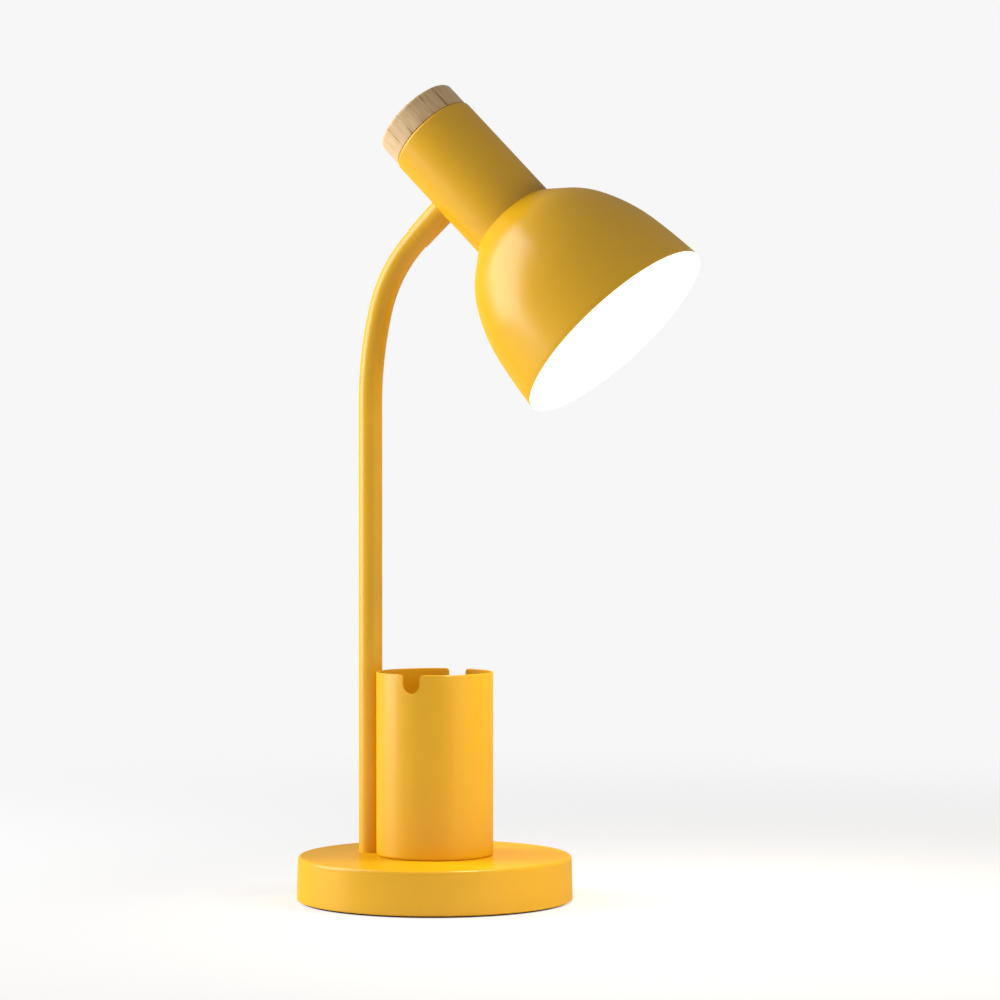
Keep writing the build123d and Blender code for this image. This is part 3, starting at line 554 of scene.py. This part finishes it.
class LAMP_OT_stage(Operator):
    """Set the camera, the pale floor and the soft studio light"""

    bl_idname = "lamp.stage"
    bl_label = "Stage"

    def execute(self, context):
        stage = context.scene.lamp_stage
        camera = bpy.data.cameras.new("photo_camera")
        camera.lens, camera.sensor_width = stage.lens, SENSOR_WIDTH
        camera.clip_start, camera.clip_end = CLIP_START, CLIP_END
        camera_object = bpy.data.objects.new("photo_camera", camera)
        camera_object.location = stage.camera_place
        camera_object.rotation_euler = (pi / 2 - stage.camera_tilt, 0, stage.camera_turn)
        context.scene.collection.objects.link(camera_object)
        context.scene.camera = camera_object

        # Right and front as the camera sees them
        right = Vector((cos(stage.camera_turn), sin(stage.camera_turn), 0))
        front = Vector((right.y, -right.x, 0))
        for name, power, size, height, to_right, to_front, mirrored in (
            ("key_softbox", stage.key_power, KEY_SIZE, KEY_HEIGHT, KEY_RIGHT, KEY_FRONT, True),
            ("low_fill", stage.fill_power, FILL_SIZE, FILL_HEIGHT, FILL_RIGHT, FILL_FRONT, False),
        ):
            softbox = bpy.data.lights.new(name, "AREA")
            softbox.energy, softbox.shape = power, "RECTANGLE"
            softbox.size, softbox.size_y = size
            place = Vector((0, 0, height)) + right * to_right + front * to_front
            aim = Vector((0, 0, AIM_HEIGHT)) - place
            softbox_object = bpy.data.objects.new(name, softbox)
            softbox_object.location = place
            softbox_object.rotation_euler = aim.to_track_quat("-Z", "Y").to_euler()
            softbox_object.visible_camera = False
            softbox_object.visible_glossy = mirrored
            context.scene.collection.objects.link(softbox_object)

        world = bpy.data.worlds.new("even_studio")
        world.use_nodes = True
        tree = world.node_tree
        tree.nodes.clear()
        strength = add_node(tree, "ShaderNodeMapRange", {
            "Value": surround_rays(tree), "To Min": stage.ambient, "To Max": stage.backdrop})
        sky = add_node(tree, "ShaderNodeBackground", {
            "Color": WHITE, "Strength": strength.outputs["Result"]})
        add_node(tree, "ShaderNodeOutputWorld", {"Surface": sky.outputs["Background"]})
        context.scene.world = world

        bm = bmesh.new()
        bmesh.ops.create_grid(bm, x_segments=1, y_segments=1, size=FLOOR_REACH)
        new_piece("studio_floor", bm, studio_paper(stage))
        context.scene.view_settings.view_transform = "Standard"
        return {"FINISHED"}


class LAMP_OT_shade(Operator):
    """Spin the bell shade, painted outside and white enamel inside"""

    bl_idname = "lamp.shade"
    bl_label = "Shade"

    def execute(self, context):
        size = context.scene.lamp_sizes
        bm = bmesh.new()
        ends = []
        for inset in (0.0, size.shade_wall):
            arcs, end, _ = shade_outline(size.mouth_radius, inset)
            tip = bm.verts.new(arcs[0][0])
            first = tip
            for (_, centre, turn), steps in zip(arcs, SHADE_ARC_STEPS):
                spun = bmesh.ops.spin(
                    bm, geom=[tip], cent=centre, axis=(0, -1, 0), angle=turn, steps=steps)
                tip = next(e for e in spun["geom_last"] if isinstance(e, bmesh.types.BMVert))
            for place in (end, Vector((HOLDER_HOLE, 0, end.z))):
                corner = bm.verts.new(place)
                bm.edges.new((tip, corner))
                tip = corner
            ends.append((first, tip))
        for outer, inner in zip(*ends):
            bm.edges.new((outer, inner))
        bmesh.ops.spin(
            bm, geom=bm.verts[:] + bm.edges[:], cent=(0, 0, 0), axis=(0, 0, 1), angle=2 * pi,
            steps=SHADE_SEGMENTS, use_merge=True)
        bmesh.ops.remove_doubles(bm, verts=bm.verts[:], dist=MERGE_DISTANCE)
        bmesh.ops.recalc_face_normals(bm, faces=bm.faces[:])

        # The two round edges of the mouth
        rim = [e for e in bm.edges if all(v.co.z < TOUCH for v in e.verts)
               and abs(e.verts[0].co.xy.length - e.verts[1].co.xy.length) < TOUCH]
        bmesh.ops.bevel(
            bm, geom=rim, offset=RIM_ROUND, segments=RIM_SEGMENTS, profile=0.5, affect="EDGES",
            material=-1)

        # Enamel with its painted glow where a face looks inwards or out of the mouth
        for face in bm.faces:
            middle = face.calc_center_median()
            inward = face.normal.xy.dot(middle.xy) < LOOKS_INWARDS * middle.xy.length
            face.material_index = int(inward or face.normal.z < LOOKS_OUT)
        head = head_matrix(size.mouth_radius)
        bm.transform(head)
        paint = bpy.data.materials["satin_powder_coat"]
        shade = new_piece("bell_shade", bm, paint, white_enamel_painted_glow(head))
        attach(shade, "head")
        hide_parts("shade")
        return {"FINISHED"}


def spin_along_stem(bm, radii, below, lead):
    """Extrude and spin rings along the gooseneck, and on into the head for the lead."""

    def run(edges, direction, length, steps):
        for _ in range(steps):
            made = bmesh.ops.extrude_edge_only(bm, edges=edges)["geom"]
            bmesh.ops.translate(
                bm, vec=direction * (length / steps),
                verts=[v for v in made if isinstance(v, bmesh.types.BMVert)])
            edges = [e for e in made if isinstance(e, bmesh.types.BMEdge)
                     and len(e.link_faces) == 1]
        return edges

    def bend(edges, centre, turn, steps):
        made = bmesh.ops.spin(
            bm, geom=edges, cent=centre, axis=(0, 1, 0), angle=turn, steps=steps)
        return [e for e in made["geom_last"] if isinstance(e, bmesh.types.BMEdge)]

    edges = []
    for radius in radii:
        ring = bmesh.ops.create_circle(
            bm, segments=TUBE_SEGMENTS, radius=radius,
            matrix=Matrix.Translation((STEM_X, 0, STEM_FOOT - below)))
        edges += {e for v in ring["verts"] for e in v.link_edges}
    up = Vector((0, 0, 1))
    edges = run(edges, up, below + FLEX_START, FOOT_STEPS)
    edges = run(edges, up, RISER - FLEX_START, RISER_STEPS)
    reach = RISER
    for radius, turn in STEM_ARCS:
        point, direction = stem_point(reach)
        centre = point + radius * Vector((direction.z, 0, -direction.x))
        edges = bend(edges, centre, turn, ARC_STEPS)
        reach += radius * turn
    point, direction = stem_point(reach)
    edges = run(edges, direction, END_RUN, 1)
    if lead:
        inside = FERRULE_LENGTH + NECK_RADIUS - LEAD_BEND
        edges = run(edges, direction, inside, LEAD_RUN_STEPS)
        turning = stem_point(STEM_LENGTH)[0] + direction * inside
        down = Vector((direction.z, 0, -direction.x))
        edges = bend(edges, turning + down * LEAD_BEND, pi / 2, LEAD_BEND_STEPS)
        run(edges, down, LEAD_TAIL, 1)


def flex_pieces(name, material, radii, below, lead, node):
    """Cut a tube along the gooseneck into a piece for each joint."""
    joints = [j for j in frame["joints"] if j["name"].startswith("neck_")]
    pitch = (STEM_LENGTH - FLEX_END_MARGIN - FLEX_START) / len(joints)
    margin = BLEND_MARGIN
    for number, joint in enumerate(joints):
        low, high = FLEX_START + number * pitch, FLEX_START + (number + 1) * pitch
        bm = bmesh.new()
        spin_along_stem(bm, radii, below, lead)
        cuts = []
        if number:
            cuts.append((stem_point(low), "clear_inner"))
        if number < len(joints) - 1:
            cuts.append((stem_point(high), "clear_outer"))
        for (point, direction), side in cuts:
            bmesh.ops.bisect_plane(
                bm, geom=bm.verts[:] + bm.edges[:] + bm.faces[:], dist=CUT_DISTANCE,
                plane_co=point, plane_no=direction, **{side: True})

        # Close the lower and the upper end
        middle_of_piece = stem_point((low + high) / 2 if number else FLEX_START)[0]
        upwards = stem_point(low if number else 0.0)[1]
        ends = ([], [])
        for edge in [e for e in bm.edges if len(e.link_faces) == 1]:
            middle = (edge.verts[0].co + edge.verts[1].co) / 2
            ends[int((middle - middle_of_piece).dot(upwards) > 0)].append(edge)
        for edges in ends:
            if len(radii) > 1:
                bmesh.ops.bridge_loops(bm, edges=edges)
            else:
                bmesh.ops.contextual_create(bm, geom=edges)
        bmesh.ops.recalc_face_normals(bm, faces=bm.faces[:])
        piece = new_piece(f"{name}_{number + 1}", bm, material)
        stem_point(low + margin)[0]
        stem_point(high - margin)[0]
        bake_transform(piece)
        if not number:
            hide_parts(node)


class LAMP_OT_gooseneck(Operator):
    """Sleeve the gooseneck and thread its lead, in lengths, one for each joint of the hose"""

    bl_idname = "lamp.gooseneck"
    bl_label = "Gooseneck"

    def execute(self, context):
        size = context.scene.lamp_sizes
        sleeve = bpy.data.materials["satin_powder_coat"]
        radii = (size.sleeve_radius, size.sleeve_radius - size.sleeve_wall)
        flex_pieces(
            "sleeve_length", sleeve, radii, 0.0, False, "gooseneck_sleeve")
        # Black PVC sheath, extruded: nearly black, with a dull gloss
        lead = speckled("lead_sheath", "2B2A28", "1B1A19", 0.8, (0.45, 0.6), 0.02)
        flex_pieces(
            "lead_length", lead, (size.lead_radius,), LEAD_BELOW, True, "lamp_lead")
        # Zinc plated steel hose, wound from strip: mid grey metal, cloudy, with a soft shine
        hose = speckled("zinc_hose", "A9A9A4", "8C8C88", 3.0, (0.3, 0.42), 0.03, metallic=1.0)
        links = [f"gooseneck_link_{k}" for k in range(1, 10)]
        dress(hose, "gooseneck_foot", "gooseneck_tip", *links)
        return {"FINISHED"}


class LAMP_OT_body(Operator):
    """Paint the base, the cup, the neck and the ferrule, and finish the oak cap and the pad"""

    bl_idname = "lamp.body"
    bl_label = "Body"

    def execute(self, context):
        dress(powder_coat(), "base_shell", "pen_cup", "neck_shell", "top_ferrule")
        dress(turned_oak(head_matrix(context.scene.lamp_sizes.mouth_radius)), "wood_cap")
        # EVA foam, sliced and die cut: dark brown, quite matt, with open pores
        dress(speckled("eva_foam", "2E2620", "1C1714", 0.7, (0.8, 0.95), 0.1), "foot_pad")
        return {"FINISHED"}


class LAMP_OT_bulb(Operator):
    """Light the bulb and finish the lampholder"""

    bl_idname = "lamp.bulb"
    bl_label = "Bulb"

    def execute(self, context):
        light = context.scene.lamp_light
        dress(opal_globe(), "bulb_globe")
        # White thermoplastic, moulded: an even off-white with a soft gloss
        white = speckled("white_thermoplastic", "EDEBE4", "DEDBD2", 1.5, (0.3, 0.42), 0.02)
        dress(white, "bulb_collar", "lampholder_body", "shade_ring", "connector_block")
        # Nickel plate, bright: a pale, slightly warm mirror with a few dull places
        nickel = speckled(
            "nickel_plate", "CFCBC4", "B9B5AE", 2.0, (0.18, 0.3), 0.01, metallic=1.0)
        dress(nickel, "bulb_cap")
        # Brass, rolled and stamped: warm yellow metal that has dulled unevenly
        brass = speckled(
            "rolled_brass", "D8B25C", "B98F3D", 2.0, (0.25, 0.4), 0.02, metallic=1.0)
        dress(brass, "lampholder_shell", "lampholder_contact", "lampholder_terminals",
              "bulb_contact", "switch_tabs")

        head = head_matrix(context.scene.lamp_sizes.mouth_radius)
        beam = bpy.data.lights.new("lamp_beam", "AREA")
        beam.energy, beam.shape, beam.size = light.beam_power, "DISK", BEAM_WIDTH
        beam.color = light.beam_colour
        beam_object = bpy.data.objects.new("lamp_beam", beam)
        beam_object.matrix_world = head @ Matrix.Translation((0, 0, BEAM_DEPTH))
        beam_object.visible_camera = False
        context.scene.collection.objects.link(beam_object)
        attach(beam_object, "head")
        return {"FINISHED"}


class LAMP_OT_fittings(Operator):
    """Finish the switch, the cord bush and the fasteners"""

    bl_idname = "lamp.fittings"
    bl_label = "Fittings"

    def execute(self, context):
        # Black nylon, moulded in an eroded tool: a fine grain with a dull gloss
        nylon = speckled("black_nylon", "1E1E1E", "131313", 0.6, (0.45, 0.6), 0.03)
        dress(nylon, "switch_housing", "switch_rocker", "bulb_insulator")
        # Black rubber, moulded: soft black, nearly matt
        rubber = speckled("black_rubber", "1A1918", "100F0F", 0.8, (0.6, 0.78), 0.04)
        dress(rubber, "cord_bush")
        # Brown PVC insulation, extruded: smooth, with a soft gloss
        wire = speckled("wire_insulation", "6A3E22", "553019", 1.0, (0.35, 0.5), 0.02)
        dress(wire, "switch_wires")
        # Grey iron, cast in sand: dark, dull and rough to the eye
        iron = speckled("cast_iron", "4A4A48", "2C2C2B", 1.6, (0.7, 0.9), 0.25)
        dress(iron, "base_weight")
        # Steel, zinc plated and passivated: pale grey metal with a soft, cloudy shine
        steel = speckled(
            "zinc_plated_steel", "BDBDB6", "9C9D98", 1.2, (0.25, 0.42), 0.02, metallic=1.0)
        dress(steel, "base_pillars", "bottom_plate", "plate_screws", "cup_screws", "cup_nuts",
              "foot_fitting", "foot_washer", "foot_nut", "saddle_washer", "ferrule_nut",
              "wood_cap_screw", "holder_standoffs", "standoff_screws", "connector_screws")
        return {"FINISHED"}


class LAMP_PT_panel(Panel):
    """Lists the lamp's steps and the values that they use"""

    bl_label = "Desk Lamp"
    bl_idname = "LAMP_PT_panel"
    bl_space_type = "VIEW_3D"
    bl_region_type = "UI"
    bl_category = "Desk Lamp"

    def draw(self, context):
        for step in STEPS:
            self.layout.operator(step.bl_idname)
        for group in GROUPS:
            box = self.layout.box()
            for name in GROUPS[group].__annotations__:
                box.prop(getattr(context.scene, group), name)


STEPS = (
    LAMP_OT_stage, LAMP_OT_body, LAMP_OT_shade, LAMP_OT_gooseneck, LAMP_OT_bulb,
    LAMP_OT_fittings)
GROUPS = {
    "lamp_finish": LampFinish, "lamp_light": LampLight, "lamp_sizes": LampSizes,
    "lamp_stage": LampStage}
CLASSES = (*GROUPS.values(), *STEPS, LAMP_PT_panel)


def register():
    for cls in CLASSES:
        bpy.utils.register_class(cls)
    for name, group in GROUPS.items():
        setattr(bpy.types.Scene, name, PointerProperty(type=group))


def unregister():
    for name in GROUPS:
        delattr(bpy.types.Scene, name)
    for cls in reversed(CLASSES):
        bpy.utils.unregister_class(cls)


def main():
    register()
    bpy.ops.lamp.stage()
    bpy.ops.lamp.body()
    bpy.ops.lamp.shade()
    bpy.ops.lamp.gooseneck()
    bpy.ops.lamp.bulb()
    bpy.ops.lamp.fittings()


if __name__ == "__main__":
    main()
